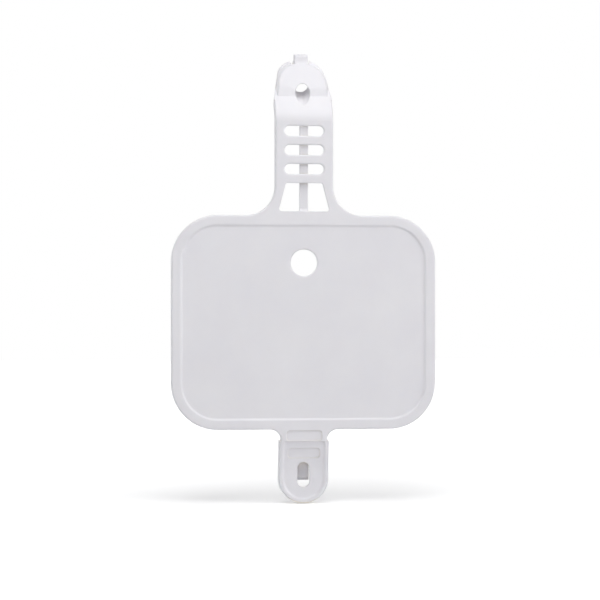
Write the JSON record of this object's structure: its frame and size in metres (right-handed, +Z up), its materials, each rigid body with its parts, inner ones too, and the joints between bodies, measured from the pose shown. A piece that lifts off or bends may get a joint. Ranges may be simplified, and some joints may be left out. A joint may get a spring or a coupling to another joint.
{
  "type": "racing_number_board",
  "caption": "White one-piece plastic front number board with a ladder strap, a leaning bolt tab with a catch and a slotted lower tab",
  "frame": {"origin": "middle of the number field's front face", "axes": "+Z up the board, +X to the right seen from the front, -Y out of the front"},
  "size_m": [0.186, 0.0377, 0.318],
  "materials": {
    "white_plastic": "satin moulded polypropylene, white with a faint cool tint"
  },
  "bodies": {
    "root": {"number_board": "white_plastic"}
  },
  "joints": []
}
